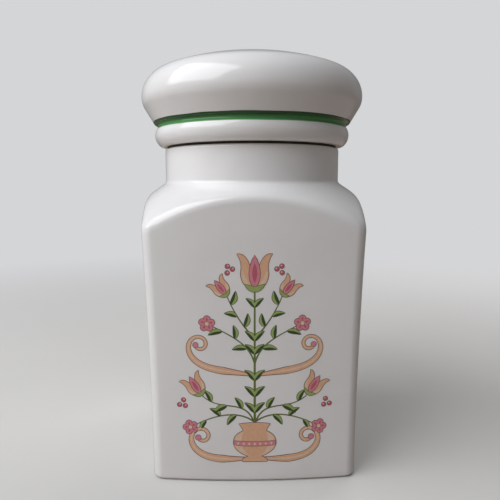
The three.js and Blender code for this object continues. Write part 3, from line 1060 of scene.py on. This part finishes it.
stage = {
    "floorSize": 8.0,
    "floorColour": (0.66, 0.65, 0.635),
    "mottle": 0.975,                      # the darker end of the floor's tone
    "mottleNoise": (9.0, 4.0),
    "roughness": 0.65,
    "bounceColour": (0.30, 0.25, 0.21),   # what the floor gives back to the canister
    "fade": (0.2, 1.0),                   # metres from the canister: floor runs into backdrop
    "backdrop": (0.66, 0.665, 0.68),
    "skyBright": (0.96, 0.98, 1.0),       # the room's light from upper left
    "skyDim": (0.50, 0.48, 0.465),        # and from lower right
    "skySpread": (-0.6, 1.0),
    "worldStrength": 0.26,
    "brightFrom": (-0.62, -0.25, 0.74),
}

lamps = {
    # where from, where to, width, height, power, colour, seen in the gloss
    "windowKey": ((-0.82, -0.43, 0.97), (0, 0, 0.16), 1.3, 1.1, 16.6, (0.97, 0.985, 1.0), True),
    "backSoft": ((0.62, 0.92, 0.62), (0, 0, 0.13), 0.9, 0.7, 5.5, (1.0, 0.985, 0.975), False),
}

camera = {
    "place": (-7.6, -345.46, 177.55),   # mm
    "heading": math.radians(1.026),     # from +Y towards +X
    "pitch": math.radians(7.468),       # downwards
    "roll": math.radians(-0.132),
    "lens": 36.0,
    "sensor": 36.0,
    "clip": (0.01, 50),
}


def seenRay(tree):
    return addNode(tree, "ShaderNodeLightPath").outputs["Is Camera Ray"]


def makeFloor():
    size, tone = stage["floorSize"], stage["floorColour"]
    mesh = bpy.data.meshes.new("floor")
    corners = [(-size, -size, 0), (size, -size, 0), (size, size, 0), (-size, size, 0)]
    mesh.from_pydata(corners, [], [(0, 1, 2, 3)])
    floor = inScene("floor", mesh)
    material, tree, shader = newFinish("floorPlaster", {
        "tones": [(0.3, tuple(stage["mottle"] * part for part in tone)), (0.7, tone)],
        "toneNoise": stage["mottleNoise"], "roughness": stage["roughness"], "refraction": 1.5})
    base = shader.inputs["Base Color"]
    plaster = base.links[0].from_socket
    feed(tree, base, blendColour(tree, seenRay(tree), stage["bounceColour"], plaster))
    fade = mapRange(tree, lengthOf(tree, objectPlace(tree)), stage["fade"], kind="SMOOTHSTEP")
    plain = addNode(tree, "ShaderNodeEmission", {"Color": (*stage["backdrop"], 1)})
    mix = addNode(tree, "ShaderNodeMixShader", {
        0: product(tree, fade, seenRay(tree)), 1: shader.outputs[0], 2: plain.outputs[0]})
    feed(tree, tree.nodes["Material Output"].inputs["Surface"], mix.outputs[0])
    mesh.materials.append(material)


def makeWorld():
    world = bpy.data.worlds.new("studio")
    bpy.context.scene.world = world
    world.use_nodes = True
    tree = world.node_tree
    tree.nodes.clear()
    around = addNode(tree, "ShaderNodeTexCoord").outputs["Generated"]
    towards = addNode(tree, "ShaderNodeVectorMath", {0: around, 1: stage["brightFrom"]},
                      operation="DOT_PRODUCT")
    share = mapRange(tree, towards.outputs["Value"], stage["skySpread"], kind="SMOOTHSTEP")
    room = blendColour(tree, share, stage["skyDim"], stage["skyBright"])
    light = addNode(tree, "ShaderNodeBackground", {"Color": room, "Strength": stage["worldStrength"]})
    back = addNode(tree, "ShaderNodeBackground", {"Color": (*stage["backdrop"], 1)})
    mix = addNode(tree, "ShaderNodeMixShader", {0: seenRay(tree), 1: light.outputs[0], 2: back.outputs[0]})
    addNode(tree, "ShaderNodeOutputWorld", {"Surface": mix.outputs[0]})


def makeLamp(name, place, target, width, height, power, colour, inGloss):
    lamp = bpy.data.lights.new(name, "AREA")
    lamp.shape = "RECTANGLE"
    lamp.size, lamp.size_y = width, height
    lamp.energy = power
    lamp.color = colour
    holder = inScene(name, lamp)
    holder.location = place
    holder.rotation_euler = (Vector(target) - Vector(place)).to_track_quat("-Z", "Y").to_euler()
    holder.visible_glossy = inGloss


def makeCamera():
    data = bpy.data.cameras.new("camera")
    data.lens, data.sensor_width = camera["lens"], camera["sensor"]
    data.clip_start, data.clip_end = camera["clip"]
    # a new camera looks straight down: it is raised, then turned
    heading = Matrix.Rotation(-camera["heading"], 4, "Z")
    pitch = Matrix.Rotation(quarter - camera["pitch"], 4, "X")
    roll = Matrix.Rotation(camera["roll"], 4, "Z")
    holder = inScene("camera", data)
    holder.matrix_world = Matrix.Translation(Vector(camera["place"]) * mm) @ heading @ pitch @ roll
    bpy.context.scene.camera = holder


makeCamera()
makeFloor()
makeWorld()
for lampName, settings in lamps.items():
    makeLamp(lampName, *settings)
bpy.context.scene.view_settings.view_transform = "Standard"
print("stage set")

jarGlazed = makeJar()
makeSeal()
makeLid()
makePrint(jarGlazed)
for helper in helpers:
    bpy.data.objects.remove(helper)
